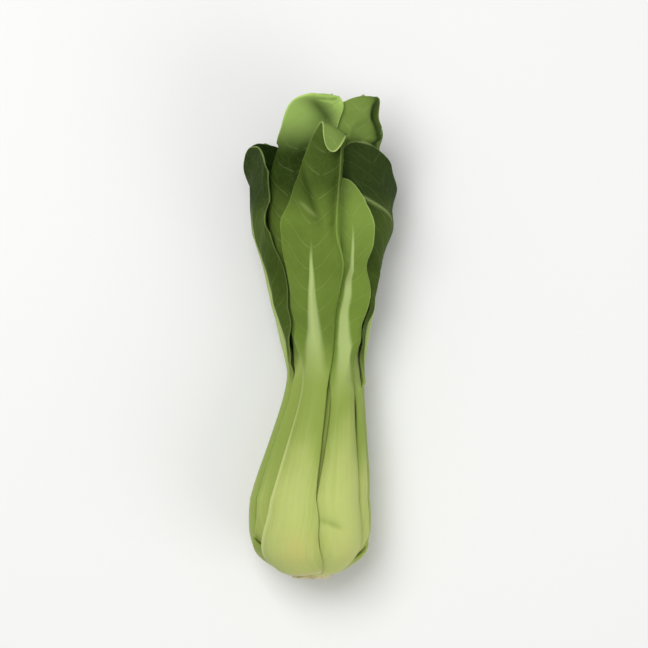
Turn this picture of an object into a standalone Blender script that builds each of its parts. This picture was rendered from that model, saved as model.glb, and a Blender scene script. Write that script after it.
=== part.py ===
"""A head of baby bok choy, cut at the base and lying on its side.

The head's axis runs along +Y, from the cut butt to the leaf tips, and +Z is up from the surface
that it lies on. Twelve leaves stand round a short stem in a spiral. A leaf is two objects that
meet edge to edge, one for each of its colours: the pale fleshy stalk, which runs on up the leaf as
its midrib, and the thin green blade. Lengths are in metres.
"""

import math
from dataclasses import dataclass

import bmesh
import bpy
import numpy as np

HEAD_LENGTH = 0.181  # from the cut butt to the highest leaf tip
AXIS_HEIGHT = 0.0224  # the head's axis above the surface, a little less than the bulb's radius
STALK_FLAT_WITHIN = 0.0009  # a stalk that comes this near the surface is pressed flat on it
BLADE_FLAT_WITHIN = 0.00035
BLADE_FLOOR = 0.0005  # height of the middle of a blade that is pressed flat

FIRST_TURN = -20  # degrees from straight up to the outermost leaf
SPIRAL_TURN = 137.5  # degrees from each leaf to the next one up the stem

# Outline of the closed head: (distance from the butt, radius)
HEAD_OUTLINE = (
    (0.0000, 0.0090),
    (0.0030, 0.0130),
    (0.0080, 0.0186),
    (0.0150, 0.0222),
    (0.0230, 0.0235),
    (0.0340, 0.0226),
    (0.0520, 0.0190),
    (0.0670, 0.0160),
    (0.0820, 0.0140),
)
# How far the head bends sideways: (distance from the butt, distance towards +X)
BEND = (
    (0.0300, 0.0000),
    (0.0520, 0.0032),
    (0.0680, 0.0052),
    (0.0820, 0.0058),
    (0.1100, 0.0054),
    (0.1400, 0.0046),
    (0.1800, 0.0040),
)
NECK = 0.082  # where the stalks stand closest and the blades begin to spread
FULL_SPREAD = 0.138  # where a blade reaches its full distance from the axis
SHORT_NECK = 0.55  # height of a very short leaf's neck, as a share of NECK
HALFWAY_OUT = 0.46  # share of its way out that a blade has come half way to FULL_SPREAD
STRAIGHT_TIP = 0.010  # the least length of a tip that stands at the full distance
LEAN_FROM = 0.030  # where a leaf that leans starts to turn round the head
LEAN_POWER = 3  # how late it turns, from 1 for an even turn all the way up
NEAREST = 0.004  # how near the axis a stalk's middle may stand

# Half the width of a full-sized stalk: (distance from the butt, half width)
STALK_HALF_WIDTH = (
    (0.0000, 0.0044),
    (0.0030, 0.0070),
    (0.0080, 0.0108),
    (0.0200, 0.0124),
    (0.0380, 0.0106),
    (0.0520, 0.0086),
    (0.0670, 0.0068),
    (0.0820, 0.0060),
)
# Thickness of a full-sized stalk along its middle: (distance from the butt, thickness)
STALK_THICKNESS = (
    (0.0000, 0.0024),
    (0.0080, 0.0044),
    (0.0200, 0.0060),
    (0.0450, 0.0050),
    (0.0800, 0.0034),
    (0.1100, 0.0024),
    (0.1400, 0.0015),
    (0.1700, 0.0010),
)
STALK_EDGE = 0.0013  # thickness along a stalk's two margins
STALK_DOME = 0.8  # 1 for a back that is a parabola from side to side, less for a flatter one
BLADE_THICKNESS = 0.0008
LOBE_DROP = 0.0018  # how far a stalk's margins fall away from the head's round outline
MIDRIB_NEAR = 0.0036  # half the midrib's width just above the neck
MIDRIB_FAR = 0.0005  # and at its upper end
MIDRIB_SHARE = 0.75  # part of the blade's length that the midrib runs up
MIDRIB_TAPER = 1.5  # 1 for a midrib that narrows evenly, more for one that narrows early
MIDRIB_START = 0.010  # how far below the neck a stalk starts to narrow
BLADE_START = 0.012  # how far below the neck a blade starts, and how far above it is all blade
WAVES_AT_MARGIN = 2.2  # how closely a blade's waves keep to its margins
LEAF_PHASE = 2.4  # angle in radians between the waves of one leaf and those of the next
SIDE_PHASE = 1.7  # and between a leaf's left and right margins

SEAM = 0.0004  # gap between a blade and its own stalk
STALK_GAP = 0.0006  # gap between one leaf and the next where both are stalks
BLADE_GAP = 0.0012  # and where both are blades
STALK_REACH = 0.004  # how far past an outer stalk's margin an inner stalk takes to rise
BLADE_REACH = 0.010  # and how far an inner blade takes, past an outer blade's margin
PRESS_SOFTNESS = 0.0022  # roundness of a leaf where it starts to press on its neighbour
LEAST_THICKNESS = 0.0009
LEAST_REACH = 0.006  # the least distance from the axis at which a leaf's width is measured
ROLL_SHARE = 0.6  # the most of half the blade that its margin's roll takes up
ROLL_START = 0.020  # how far above the neck a margin starts to roll
ROLL_FULL = 0.050  # and how far above it the margin is rolled in full
TIP_ROLL = 0.0080  # length over which a blade's tip rolls, before it runs on straight
TIP_ROLL_BOW = 14  # how much sooner it rolls beside the middle, for each metre squared
ROLL_CLEARANCE = 1.5 * BLADE_THICKNESS  # from a rolled margin's middle to the leaf outside it

# The short stem that carries the leaves: (distance from the butt, radius)
STEM_OUTLINE = (
    (0.0000, 0.0070),
    (0.0005, 0.0074),
    (0.0030, 0.0070),
    (0.0080, 0.0054),
    (0.0160, 0.0038),
    (0.0260, 0.0020),
    (0.0310, 0.0010),
)
STEM_SIDES = 36

# Every leaf has its corners at the same distances from the butt, so that layers stay apart
STATIONS = (
    (0.003, 0.008, 0.015, 0.024, 0.036, 0.048, 0.059, 0.068)
    + (0.075, 0.082, 0.089, 0.096, 0.103, 0.110, 0.117, 0.124)
    + (0.131, 0.138, 0.145, 0.152, 0.159, 0.166, 0.173, 0.180)
)
# Distances back from a blade's tip
TIP_STATIONS = (0.0140, 0.0115, 0.0090, 0.0050, 0.0022, 0.0008, 0.0002)
LEAST_STEP = 0.0015  # between a leaf's own end and the first shared station
STALK_COLUMNS = np.linspace(-1, 1, 7)  # shares of a stalk's half width
WING_COLUMNS = np.array([0, 0.38, 0.68, 0.86, 1])  # shares of a blade's wing

MERGE = 0.00002  # points of one surface that are nearer than this are made one
LEAST_ANGLE = 0.00001  # stands for no bend, in radians
SHARP_ANGLE = math.radians(40)  # an edge that turns by more than this isn't shaded smooth

STALK_COLOUR = (0.50, 0.56, 0.22, 1)
BLADE_COLOUR = (0.055, 0.115, 0.022, 1)
STEM_COLOUR = (0.62, 0.58, 0.34, 1)


@dataclass
class Leaf:
    """One leaf. Lengths are in metres and angles in degrees."""

    place: int  # its place in the spiral, from the outermost leaf
    tip: float  # distance from the butt to the leaf's tip
    half_width: float  # half the blade's greatest width
    spread: float  # distance of the open blade from the head's axis
    tip_out: float  # how much further out the tip bends
    openness: float  # 0 for a blade that follows a circle round the axis, 1 for a flat one
    lean: float  # how far round the head the tip stands from the stalk
    ruffle: float  # height of the waves along the margin
    waves: float  # number of waves along the margin
    size: float  # of its stalk, against a full-sized one
    inset: float  # how far the stalk stands inside the head's outline
    start: float  # distance from the butt to the stalk's lower end
    widest: float = 0.62  # part of the blade's length at which it is widest
    blunt: float = 2.4  # 2 for a blade that ends as an ellipse does, more for a squarer tip
    rolls: tuple = (0, 0, 0)  # how far the left margin, right margin and tip roll outwards
    margin: float = 0.006  # how much of each margin is rolled
    curl: float = 0.011  # how much of the tip is rolled or lies beyond the roll
    slant: float = 0.0  # how much sooner it rolls on the right, for each metre across


# From the outermost blade to the innermost, with the values in the order given above
LEAVES = (
    Leaf(
        0, 0.1860, 0.0122, 0.0285, 0.000, -0.3, 36, 0.0009, 2.4, 1.00, 0.0000, 0.0000,
        0.41, 1.3, (20, 160, 165), 0.0045, 0.0170, 0.5,
    ),
    Leaf(
        3, 0.1500, 0.0108, 0.0268, 0.000, 0.2, -14, 0.0012, 2.2, 0.95, 0.0006, 0.0030,
        0.60, 1.6, (0, 50, 30),
    ),
    Leaf(
        1, 0.1640, 0.0185, 0.0272, 0.000, 0.15, -85, 0.0012, 2.6, 1.00, 0.0000, 0.0030,
        0.62, 2.6, (0, 40, 40),
    ),
    Leaf(
        2, 0.1620, 0.0160, 0.0274, 0.000, 0.2, 55, 0.0014, 2.7, 1.00, 0.0000, 0.0004,
        0.60, 1.8, (20, 60, 40),
    ),
    Leaf(
        5, 0.1868, 0.0110, 0.0255, 0.001, 0.1, 57, 0.0014, 2.3, 0.95, 0.0008, 0.0055,
        0.78, 3.2, (40, 0, 80),
    ),
    Leaf(4, 0.1600, 0.0245, 0.0265, 0.000, 0.2, 6, 0.0018, 2.6, 0.95, 0.0000, 0.0008),
    Leaf(
        8, 0.1822, 0.0135, 0.0235, 0.003, 0.2, 38, 0.0012, 2.6, 0.90, 0.0022, 0.0080,
        0.70, 2.8, (0, 50, 50),
    ),
    Leaf(
        6, 0.1580, 0.0205, 0.0270, 0.000, 0.2, -6, 0.0018, 2.8, 0.90, 0.0014, 0.0060,
        rolls=(0, 40, 30),
    ),
    Leaf(
        7, 0.1640, 0.0215, 0.0260, 0.000, 0.2, 18, 0.0016, 2.3, 0.90, 0.0014, 0.0065,
        rolls=(0, 20, 20),
    ),
    Leaf(9, 0.1690, 0.0170, 0.0195, 0.002, 0.1, -40, 0.0012, 2.2, 0.70, 0.0040, 0.0140),
    Leaf(10, 0.1560, 0.0150, 0.0150, 0.001, 0.1, 0, 0.0010, 2.0, 0.60, 0.0060, 0.0150),
    Leaf(11, 0.1340, 0.0075, 0.0085, 0.001, 0.0, 0, 0.0006, 1.8, 0.40, 0.0082, 0.0180),
)


def smooth_line(points, at):
    """Values at stations along a smooth line through (station, value) points, with no overshoot."""
    stations, values = np.array(points).T
    slopes = np.diff(values) / np.diff(stations)
    tangents = np.concatenate([slopes[:1], (slopes[:-1] + slopes[1:]) / 2, slopes[-1:]])
    tangents[1:-1][slopes[:-1] * slopes[1:] <= 0] = 0
    at = np.clip(at, stations[0], stations[-1])
    i = np.clip(np.searchsorted(stations, at) - 1, 0, len(stations) - 2)
    step = stations[i + 1] - stations[i]
    t = (at - stations[i]) / step
    return (
        (1 + 2 * t) * (1 - t) ** 2 * values[i]
        + t * (1 - t) ** 2 * step * tangents[i]
        + t * t * (3 - 2 * t) * values[i + 1]
        - t * t * (1 - t) * step * tangents[i + 1]
    )


def smooth_step(low, high, at):
    t = np.clip((at - low) / (high - low), 0, 1)
    return t * t * (3 - 2 * t)


def rolled_by(past, angle, length):
    """How far back, and how far out, a strip's points move when it bends by an angle over a
    length, and runs on straight from there."""
    bend = np.maximum(angle, LEAST_ANGLE) / length
    arc = np.minimum(past, length)
    beyond = past - arc
    forward = np.sin(arc * bend) / bend + beyond * np.cos(bend * length)
    return past - forward, (1 - np.cos(arc * bend)) / bend + beyond * np.sin(bend * length)


def soft_least(a, b, softness=PRESS_SOFTNESS):
    """The smaller of a and b, rounded off where they meet and never above either."""
    h = np.clip(softness - np.abs(a - b), 0, None) / softness
    return np.minimum(a, b) - h * h * softness / 4


class Layers:
    """The head as layers round its axis, on a grid of distances from the butt and directions."""

    STEP = 0.001
    DIRECTIONS = 180
    FAR = 1.0  # stands for no limit
    STEEPEST = 2.5

    def __init__(self):
        self.along = np.arange(0, HEAD_LENGTH + 8 * self.STEP, self.STEP)
        self.turns = np.arange(self.DIRECTIONS) * 2 * math.pi / self.DIRECTIONS
        self.y, self.angle = np.meshgrid(self.along, self.turns, indexing="ij")
        down = np.clip(-np.cos(self.angle), AXIS_HEIGHT / self.FAR, None)
        self.limit = AXIS_HEIGHT / down

    def steepness(self, radius):
        """How much longer a leaf's thickness is along the radius than through the leaf."""
        by_y = np.gradient(radius, self.STEP, axis=0)
        wrapped = np.concatenate([radius[:, -1:], radius, radius[:, :1]], axis=1)
        by_turn = (wrapped[:, 2:] - wrapped[:, :-2]) / (2 * self.turns[1])
        steep = np.sqrt(1 + by_y**2 + (by_turn / radius) ** 2)
        return np.minimum(steep, self.STEEPEST)

    def sample(self, grid, y, angle):
        """The grid's value at each point, between its nodes."""
        i = np.clip(y / self.STEP, 0, len(self.along) - 1.001)
        j = (angle / (2 * math.pi) % 1) * self.DIRECTIONS
        i0, j0 = i.astype(int), j.astype(int) % self.DIRECTIONS
        j1 = (j0 + 1) % self.DIRECTIONS
        fi, fj = i - i0, j - np.floor(j)
        low = grid[i0, j0] * (1 - fj) + grid[i0, j1] * fj
        high = grid[i0 + 1, j0] * (1 - fj) + grid[i0 + 1, j1] * fj
        return low * (1 - fi) + high * fi


class LeafShape:
    """The outer and inner face of one leaf, as radii round the head's axis."""

    def __init__(self, leaf, layers):
        self.leaf, self.layers = leaf, layers
        neck = NECK * (SHORT_NECK + (1 - SHORT_NECK) * min(leaf.tip / HEAD_LENGTH, 1))
        self.neck = max(s for s in STATIONS if s <= neck)
        midrib_end = neck + MIDRIB_SHARE * (leaf.tip - neck)
        self.midrib_end = max(s for s in STATIONS if s <= midrib_end)
        self.settle()

    def turn(self, y):
        """Direction of the leaf's middle line round the axis."""
        leaf = self.leaf
        up = np.clip((y - LEAN_FROM) / (leaf.tip - LEAN_FROM), 0, 1)
        return np.radians(FIRST_TURN + leaf.place * SPIRAL_TURN + leaf.lean * up**LEAN_POWER)

    def middle(self, y):
        """Distance of the leaf's middle line from the axis, before its neighbours press on it."""
        leaf = self.leaf
        closed = [(s, max(r - leaf.inset, NEAREST)) for s, r in HEAD_OUTLINE if s < self.neck]
        neck = max(HEAD_OUTLINE[-1][1] - leaf.inset, NEAREST)
        full = min(FULL_SPREAD, leaf.tip - STRAIGHT_TIP)
        spread = [
            (self.neck, neck),
            ((self.neck + full) / 2, neck + HALFWAY_OUT * (leaf.spread - neck)),
            (full, leaf.spread),
            (leaf.tip, leaf.spread + leaf.tip_out),
        ]
        return smooth_line(closed + spread, y)

    def half_width(self, y):
        """Half the leaf's whole width."""
        leaf = self.leaf
        stalk = smooth_line(STALK_HALF_WIDTH, y * NECK / self.neck) * leaf.size
        widest = self.neck + leaf.widest * (leaf.tip - self.neck)
        growing = smooth_step(self.neck - BLADE_START, widest, y)
        blade = stalk + (leaf.half_width - stalk) * growing
        over = np.clip((y - widest) / (leaf.tip - widest), 0, 1)
        return blade * np.sqrt(1 - over**leaf.blunt)

    def midrib_half_width(self, y):
        """Half the width of the stalk, and of the midrib that it turns into above the neck."""
        whole = self.half_width(y)
        up = np.clip((y - self.neck) / (self.midrib_end - self.neck), 0, 1)
        rib = MIDRIB_FAR + (MIDRIB_NEAR * self.leaf.size - MIDRIB_FAR) * (1 - up) ** MIDRIB_TAPER
        into_rib = smooth_step(self.neck - MIDRIB_START, self.neck, y)
        return whole * (1 - into_rib) + np.minimum(rib, whole) * into_rib

    def blade_share(self, y):
        return smooth_step(self.neck - BLADE_START, self.neck + BLADE_START, y)

    def relief(self, y, across):
        """The stalk's thickness beyond that of its margins."""
        core = smooth_line(STALK_THICKNESS, y * NECK / self.neck) * self.leaf.size
        width = self.midrib_half_width(y)
        dome = np.clip(1 - (across / np.maximum(width, MERGE)) ** 2, 0, 1) ** STALK_DOME
        return np.clip(core - self.edge(y), 0, None) * dome * (y <= self.midrib_end)

    def edge(self, y):
        return STALK_EDGE + (BLADE_THICKNESS - STALK_EDGE) * self.blade_share(y)

    def wanted(self, y, across):
        """Radius of the outer face before the neighbours press on it."""
        leaf = self.leaf
        width = self.half_width(y)
        side = np.clip(np.abs(across) / np.maximum(width, MERGE), 0, 1)
        in_blade = self.blade_share(y)
        middle = self.middle(y)
        opening = leaf.openness * across**2 / (2 * middle)
        along = (y - self.neck) / (leaf.tip - self.neck)
        phase = LEAF_PHASE * leaf.place + np.where(across > 0, SIDE_PHASE, 0)
        wave = np.sin(2 * math.pi * leaf.waves * along + phase)
        wave = wave * leaf.ruffle * side**WAVES_AT_MARGIN
        return middle - LOBE_DROP * side**2 * (1 - in_blade) + in_blade * (opening + wave)

    def settle(self):
        """Fits the leaf under the leaves outside it, then takes its room from those inside."""
        layers, leaf = self.layers, self.leaf
        y, width = layers.y, self.half_width(layers.y)
        across = self.across(y, layers.angle)
        held = np.clip(across, -width, width)
        relief = self.relief(y, held)
        self.free = layers.limit
        in_blade = self.blade_share(y)
        self.outer = soft_least(self.wanted(y, held), self.free - relief * in_blade)
        steep = layers.steepness(self.outer)
        self.skin = self.edge(y) * steep
        inward = self.skin + relief * (1 - in_blade)
        past_side = np.clip(np.abs(across) - width, 0, None)
        past_end = np.clip(y - leaf.tip, 0, None) + np.clip(leaf.start - y, 0, None)
        past = np.hypot(past_side, past_end)
        rise = past**2 / (past + STALK_REACH + (BLADE_REACH - STALK_REACH) * in_blade)
        gap = STALK_GAP + (BLADE_GAP - STALK_GAP) * in_blade
        clear = self.outer - inward - gap * steep + rise
        layers.limit = np.minimum(layers.limit, clear)

    def reach(self, y):
        """Distance from the axis at which widths are measured."""
        return np.maximum(self.middle(y), LEAST_REACH)

    def across(self, y, angle):
        """Distance across the leaf from its middle line to a direction round the axis."""
        off = (angle - self.turn(y) + math.pi) % (2 * math.pi) - math.pi
        return off * self.reach(y)

    def angle(self, y, across):
        return self.turn(y) + across / self.reach(y)

    def slot(self, y):
        """Half the width of the gap in the blade that holds the midrib, a seam wider each side."""
        tightness = self.reach(y) / self.faces(y, 0 * y)[0]
        half_width = self.midrib_half_width(y) + SEAM * np.maximum(tightness, 1)
        return half_width * (y <= self.midrib_end)

    def faces(self, y, across):
        """(radius of the outer face, radius of the inner face, direction) at points on the leaf."""
        angle = self.angle(y, across)
        outer = self.layers.sample(self.outer, y, angle)
        skin = self.layers.sample(self.skin, y, angle)
        relief = self.relief(y, across)
        share = self.blade_share(y)
        least = smooth_line(STEM_OUTLINE, y) * (y < STEM_OUTLINE[-1][0]) + SEAM
        inner = np.maximum(outer - skin - relief * (1 - share), least)
        outer = np.maximum(outer + relief * share, inner + LEAST_THICKNESS)
        return outer, inner, angle

    def rolled(self, y, across):
        """(distance from the butt, radius, direction) of points on the blade's middle surface,
        with its margins and tip rolled outwards as far as the leaves outside it let them."""
        leaf = self.leaf
        left, right, tip = np.radians(leaf.rolls)
        rolled = np.minimum(leaf.margin, ROLL_SHARE * self.half_width(y))
        past = np.clip(np.abs(across) - self.half_width(y) + rolled, 0, None)
        angle = np.where(across < 0, left, right) * rolled / leaf.margin
        angle = angle * smooth_step(self.neck + ROLL_START, self.neck + ROLL_FULL, y)
        back, lift = rolled_by(past, angle, np.maximum(rolled, MERGE))
        across = across - np.sign(across) * back
        sooner = TIP_ROLL_BOW * across**2 + leaf.slant * across
        past = np.clip(y - leaf.tip + leaf.curl + sooner, 0, None)
        back, tip_lift = rolled_by(past, tip, TIP_ROLL)
        y = y - back
        outer, inner, angle = self.faces(y, across)
        middle = (outer + inner) / 2
        free = self.layers.sample(self.free, y, angle) - ROLL_CLEARANCE - middle
        return y, middle + np.clip(soft_least(lift + tip_lift, free), 0, None), angle


def lay(y, radius, angle):
    """Points of the head as it lies, from distances along its axis, radii and directions."""
    bend = smooth_line(BEND, y)
    return np.stack(
        [bend + radius * np.sin(angle), y, AXIS_HEIGHT + radius * np.cos(angle)], axis=-1
    )


def pressed_flat(points, floor, within):
    """The points, with those that come within a small height of the floor laid on it."""
    near = points[..., 2] < floor + within
    points[..., 2] = np.where(near, floor, points[..., 2])
    return points


def material(name, colour, roughness):
    made = bpy.data.materials.new(name)
    made.use_nodes = True
    shader = made.node_tree.nodes["Principled BSDF"]
    shader.inputs["Base Color"].default_value = colour
    shader.inputs["Roughness"].default_value = roughness
    made.diffuse_color = colour
    return made


def new_object(name, mesh, look, collection):
    mesh.materials.append(look)
    mesh.shade_smooth()
    mesh.set_sharp_from_angle(angle=SHARP_ANGLE)
    made = bpy.data.objects.new(name, mesh)
    collection.objects.link(made)
    return made


def add_grid(bm, points):
    """Adds the points, and triangles between them, and returns the rows of vertices."""
    rows = [[bm.verts.new(p) for p in row] for row in points]
    for low, high in zip(rows, rows[1:]):
        for a, b, c, d in zip(low, low[1:], high[1:], high):
            bm.faces.new((a, b, c))
            bm.faces.new((a, c, d))
    return rows


def border(rows):
    """The vertices round a grid's edge, in order."""
    right = [row[-1] for row in rows[1:]]
    left = [row[0] for row in rows[-2:0:-1]]
    return rows[0] + right + rows[-1][-2::-1] + left


def stations(start, end):
    """The shared distances from the butt that lie between the two given, and those two."""
    between = [s for s in STATIONS if start + LEAST_STEP < s < end - LEAST_STEP]
    return np.array([start, *between, end])


def mesh_of(name, bm):
    bmesh.ops.recalc_face_normals(bm, faces=bm.faces)
    mesh = bpy.data.meshes.new(name)
    bm.to_mesh(mesh)
    bm.free()
    return mesh


def stalk_mesh(name, shape):
    """A closed loft between the stalk's outer and inner faces."""
    leaf = shape.leaf
    y = stations(leaf.start, shape.midrib_end)[:, None]
    across = STALK_COLUMNS * shape.midrib_half_width(y)
    y = y + 0 * STALK_COLUMNS
    outer, inner, angle = shape.faces(y, across)
    bm = bmesh.new()
    outside = pressed_flat(lay(y, outer, angle), 0, STALK_FLAT_WITHIN)
    skin = border(add_grid(bm, outside))
    lining = border(add_grid(bm, lay(y, inner, angle)))
    for a, b, c, d in zip(skin, skin[1:] + skin[:1], lining[1:] + lining[:1], lining):
        bm.faces.new((a, b, c))
        bm.faces.new((a, c, d))
    return mesh_of(name, bm)


def blade_mesh(name, shape):
    """The blade's middle surface: two wings beside the midrib, joined above its end."""
    leaf = shape.leaf
    beside = stations(shape.neck, shape.midrib_end)
    beside[0] += SEAM
    above = stations(shape.midrib_end + 2 * SEAM, leaf.tip - TIP_STATIONS[0])
    y = np.concatenate([beside, above, leaf.tip - np.array(TIP_STATIONS[1:])])[:, None]
    outermost = shape.half_width(y)
    slot = shape.slot(y)
    bm = bmesh.new()
    for sign in (-1, 1):
        across = sign * (slot + (outermost - slot) * WING_COLUMNS)
        points = lay(*shape.rolled(y + 0 * WING_COLUMNS, across))
        add_grid(bm, pressed_flat(points, BLADE_FLOOR, BLADE_FLAT_WITHIN))
    bmesh.ops.remove_doubles(bm, verts=bm.verts, dist=MERGE)
    return mesh_of(name, bm)


def add_stem(look, collection):
    """The stem: its outline turned round the head's axis, from the cut butt to its point."""
    outline = [(r, 0, s) for s, r in reversed(STEM_OUTLINE)]
    points = [(0, 0, STEM_OUTLINE[-1][0]), *outline, (0, 0, STEM_OUTLINE[0][0])]
    mesh = bpy.data.meshes.new("stem")
    mesh.from_pydata(points, [(i, i + 1) for i in range(len(points) - 1)], [])
    stem = new_object("stem", mesh, look, collection)
    stem.rotation_euler = (-math.pi / 2, 0, 0)
    stem.location = (0, 0, AXIS_HEIGHT)
    turned = stem.modifiers.new("Turned", "SCREW")
    turned.axis = "Z"
    turned.steps = turned.render_steps = STEM_SIDES
    turned.use_merge_vertices = True
    turned.merge_threshold = MERGE


def add_leaves(stalk_look, blade_look, collection):
    layers = Layers()
    for leaf in LEAVES:
        shape = LeafShape(leaf, layers)
        number = f"{leaf.place + 1:02d}"
        stalk = stalk_mesh(f"stalk_{number}", shape)
        new_object(f"stalk_{number}", stalk, stalk_look, collection)
        blade = blade_mesh(f"blade_{number}", shape)
        blade = new_object(f"blade_{number}", blade, blade_look, collection)
        thick = blade.modifiers.new("Thickness", "SOLIDIFY")
        thick.thickness = BLADE_THICKNESS
        thick.offset = 0


def centre_on_origin(objects):
    """Moves the head so that the middle of its box, at the surface, is the origin."""
    bpy.context.view_layer.update()
    graph = bpy.context.evaluated_depsgraph_get()
    corners = []
    for part in objects:
        shown = part.evaluated_get(graph)
        corners += [shown.matrix_world @ v.co for v in shown.data.vertices]
    low, high = np.min(corners, axis=0), np.max(corners, axis=0)
    for part in objects:
        part.location.x -= (low[0] + high[0]) / 2
        part.location.y -= (low[1] + high[1]) / 2
        part.location.z -= low[2]


def main():
    for old in list(bpy.data.objects):
        bpy.data.objects.remove(old)
    collection = bpy.data.collections.new("Bok choy")
    bpy.context.scene.collection.children.link(collection)
    stalk_look = material("Pale stalk", STALK_COLOUR, roughness=0.35)
    blade_look = material("Green blade", BLADE_COLOUR, roughness=0.42)
    stem_look = material("Cut stem", STEM_COLOUR, roughness=0.7)
    add_stem(stem_look, collection)
    add_leaves(stalk_look, blade_look, collection)
    centre_on_origin(collection.objects)


main()
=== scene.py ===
"""Dresses a head of baby bok choy: twelve fine leaves with pale fleshy stalks, green blades, veins
and curled margins, the cut stem that holds them, and a plain stage to see them on."""

import math
from dataclasses import dataclass

import bmesh
import bpy
import numpy as np
from bpy.props import FloatProperty, FloatVectorProperty, IntProperty, PointerProperty
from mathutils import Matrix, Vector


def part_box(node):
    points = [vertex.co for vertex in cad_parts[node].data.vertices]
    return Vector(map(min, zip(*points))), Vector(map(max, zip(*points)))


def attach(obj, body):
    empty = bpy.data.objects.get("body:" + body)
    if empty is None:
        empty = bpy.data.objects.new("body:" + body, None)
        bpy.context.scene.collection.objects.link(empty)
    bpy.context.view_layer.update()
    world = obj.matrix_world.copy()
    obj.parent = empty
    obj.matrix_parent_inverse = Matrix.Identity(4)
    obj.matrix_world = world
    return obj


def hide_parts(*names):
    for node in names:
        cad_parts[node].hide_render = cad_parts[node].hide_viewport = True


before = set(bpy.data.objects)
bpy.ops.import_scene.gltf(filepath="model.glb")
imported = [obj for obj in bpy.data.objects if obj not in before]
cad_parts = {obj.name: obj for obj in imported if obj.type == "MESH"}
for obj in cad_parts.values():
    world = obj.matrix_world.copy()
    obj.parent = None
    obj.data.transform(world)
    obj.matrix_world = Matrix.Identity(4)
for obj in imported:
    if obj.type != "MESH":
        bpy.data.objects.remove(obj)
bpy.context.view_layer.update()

bl_info = {
    "name": "Bok Choy Head",
    "version": (1, 0),
    "blender": (4, 5, 0),
    "location": "3D View > Sidebar > Bok Choy",
    "description": "Dresses a head of baby bok choy with fine leaves, a cut stem and a stage",
    "category": "Object",
}

STEM_LOW, STEM_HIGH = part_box("stem")
AXIS = (STEM_LOW + STEM_HIGH) / 2  # the head's axis: its x and its height
BUTT = STEM_LOW.y  # where the head is cut
AXIS_HEIGHT = AXIS.z

# The head's own shape, as in the frame. Lengths are in metres, and distances run from the butt.
HEAD_LENGTH = 0.181
FIRST_TURN = -20  # degrees from straight up to the outermost leaf
SPIRAL_TURN = 137.5  # degrees from each leaf to the next one up the stem
HEAD_OUTLINE = (  # (distance, radius) of the closed head
    (0.0000, 0.0090),
    (0.0030, 0.0138),
    (0.0080, 0.0197),
    (0.0150, 0.0229),
    (0.0230, 0.0236),
    (0.0340, 0.0226),
    (0.0520, 0.0190),
    (0.0670, 0.0160),
    (0.0820, 0.0140),
)
BEND = (  # (distance, how far the head bends towards +X)
    (0.0300, 0.0000),
    (0.0520, 0.0032),
    (0.0680, 0.0052),
    (0.0820, 0.0058),
    (0.1100, 0.0054),
    (0.1400, 0.0046),
    (0.1800, 0.0040),
)
NECK = 0.082  # where the stalks stand closest and the blades begin to spread
FULL_SPREAD = 0.138  # where a blade reaches its full distance from the axis
SHORT_NECK = 0.55  # height of a very short leaf's neck, as a share of NECK
HALFWAY_OUT = 0.46  # share of its way out that a blade has come half way to FULL_SPREAD
STRAIGHT_TIP = 0.010  # the least length of a tip that stands at the full distance
LEAN_FROM = 0.030  # where a leaf that leans starts to turn round the head
LEAN_POWER = 3  # how late it turns, from 1 for an even turn all the way up
NEAREST = 0.004  # how near the axis a stalk's middle may stand
STALK_HALF_WIDTH = (  # (distance, half the width of a full-sized stalk)
    (0.0000, 0.0068),
    (0.0030, 0.0088),
    (0.0080, 0.0108),
    (0.0200, 0.0124),
    (0.0380, 0.0106),
    (0.0520, 0.0086),
    (0.0670, 0.0068),
    (0.0820, 0.0060),
)
FIRST_HALF_WIDTH = (  # the same for the outermost leaf, which clasps the others at the base
    (0.0000, 0.0091),
    (0.0030, 0.0130),
    (0.0080, 0.0156),
    (0.0165, 0.0135),
    (0.0310, 0.0103),
    (0.0490, 0.0082),
    (0.0690, 0.0062),
    (0.0820, 0.0059),
)
BASE_TURNS_BELOW = (0.004, 0.026)  # where a turned base is turned in full, and where not at all
STALK_THICKNESS = (  # (distance, thickness of a full-sized stalk along its middle)
    (0.0000, 0.0024),
    (0.0080, 0.0044),
    (0.0200, 0.0060),
    (0.0450, 0.0050),
    (0.0800, 0.0034),
    (0.1100, 0.0024),
    (0.1400, 0.0015),
    (0.1700, 0.0010),
)
STALK_EDGE = 0.0010  # thickness along a stalk's two margins
STALK_DOME = 0.8  # 1 for a back that is a parabola from side to side, less for a flatter one
MIDRIB_DOME = 1.7
BLADE_THICKNESS = 0.0008
LOBE_DROP = 0.0018  # how far a stalk's margins fall away from the head's round outline
ROOM_TO_FALL = 0.0020  # room outside a stalk at which its margins fall that far
MIDRIB_NEAR = 0.0036  # half the midrib's width just above the neck
MIDRIB_FAR = 0.0005  # and at its upper end
MIDRIB_TAPER = 1.5  # 1 for a midrib that narrows evenly, more for one that narrows early
MIDRIB_START = 0.010  # how far below the neck a stalk starts to narrow
MIDRIB_FADE = 0.016  # length over which the midrib sinks into the blade at its upper end
BLADE_START = 0.012  # how far below the neck a blade starts, and how far above it is all blade
WAVES_AT_MARGIN = 2.2  # how closely a blade's waves keep to its margins
LEAF_PHASE = 2.4  # angle in radians between the waves of one leaf and those of the next
SIDE_PHASE = 1.7  # and between a leaf's left and right margins
SEAM = 0.0004  # gap that a leaf keeps to the stem
STALK_GAP = 0.0002  # gap between one leaf and the next where both are stalks
BLADE_GAP = 0.0012  # and where both are blades
STALK_REACH = 0.004  # how far past an outer stalk's margin an inner stalk takes to rise
BLADE_REACH = 0.010  # and how far an inner blade takes, past an outer blade's margin
PRESS_SOFTNESS = 0.0012  # roundness of a leaf where it starts to press on its neighbour
LEAST_THICKNESS = 0.0009
LEAST_REACH = 0.006  # the least distance from the axis at which a leaf's width is measured
ROLL_SHARE = 0.6  # the most of half the blade that its margin's roll takes up
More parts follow.
